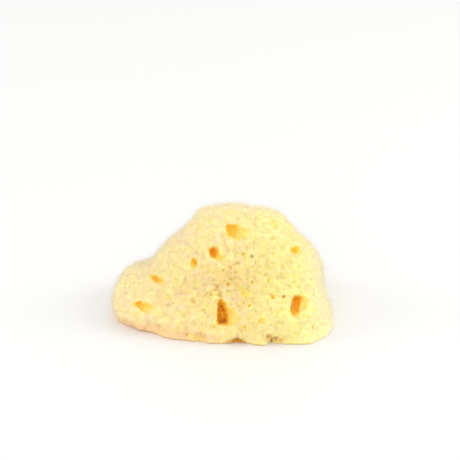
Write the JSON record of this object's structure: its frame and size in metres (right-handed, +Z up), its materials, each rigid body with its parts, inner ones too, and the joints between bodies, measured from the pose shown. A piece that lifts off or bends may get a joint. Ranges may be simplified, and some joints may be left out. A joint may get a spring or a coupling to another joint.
{
  "type": "sea sponge",
  "caption": "Dry natural sea sponge: a low rounded mound with an arm to one side, pierced by round canal mouths and pits, with a cleft in front and a flat cut base.",
  "frame": {"origin": "centre of the footprint's box, on the surface that the sponge rests on", "axes": "+X to the sponge's right as seen from the front and along its longest extent, +Y from the front to the back, +Z up"},
  "size_m": [0.12, 0.082, 0.0595],
  "materials": {
    "sponge": "dry, matt, soft springy fibre in pale warm yellow, more orange inside the canals"
  },
  "bodies": {
    "root": {"sponge": "sponge"}
  },
  "joints": []
}
